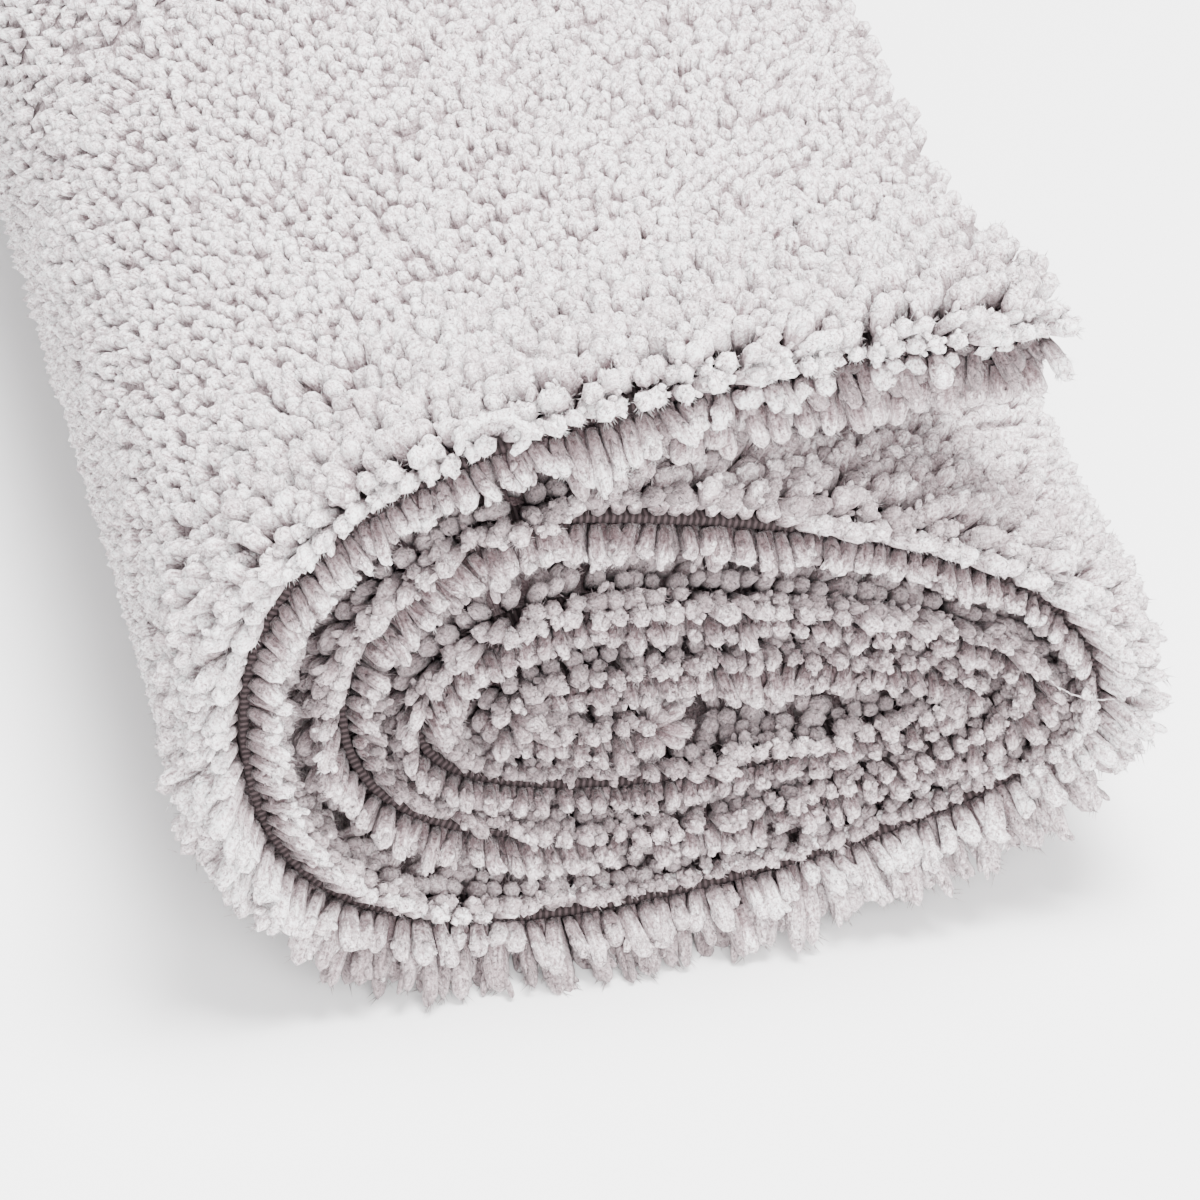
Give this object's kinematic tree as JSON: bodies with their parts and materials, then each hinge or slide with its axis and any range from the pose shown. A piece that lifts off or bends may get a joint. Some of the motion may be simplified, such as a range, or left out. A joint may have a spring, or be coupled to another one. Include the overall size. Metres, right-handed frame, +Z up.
{
  "type": "rolled microfiber towel",
  "caption": "Plush cleaning towel with long soft pile on both faces, rolled up into a flattened roll that lies on its side.",
  "frame": {"origin": "middle of the roll's footprint, on the table", "axes": "+Y along the roll's axis away from the end that shows its turns, +Z up, loose end of the cloth on top at +X"},
  "size_m": [0.0706, 0.3, 0.0517],
  "materials": {
    "plush_cloth": "long soft matt pile, light silver grey with a faint lilac tint"
  },
  "bodies": {
    "root": {"towel_roll": "plush_cloth"}
  },
  "joints": []
}
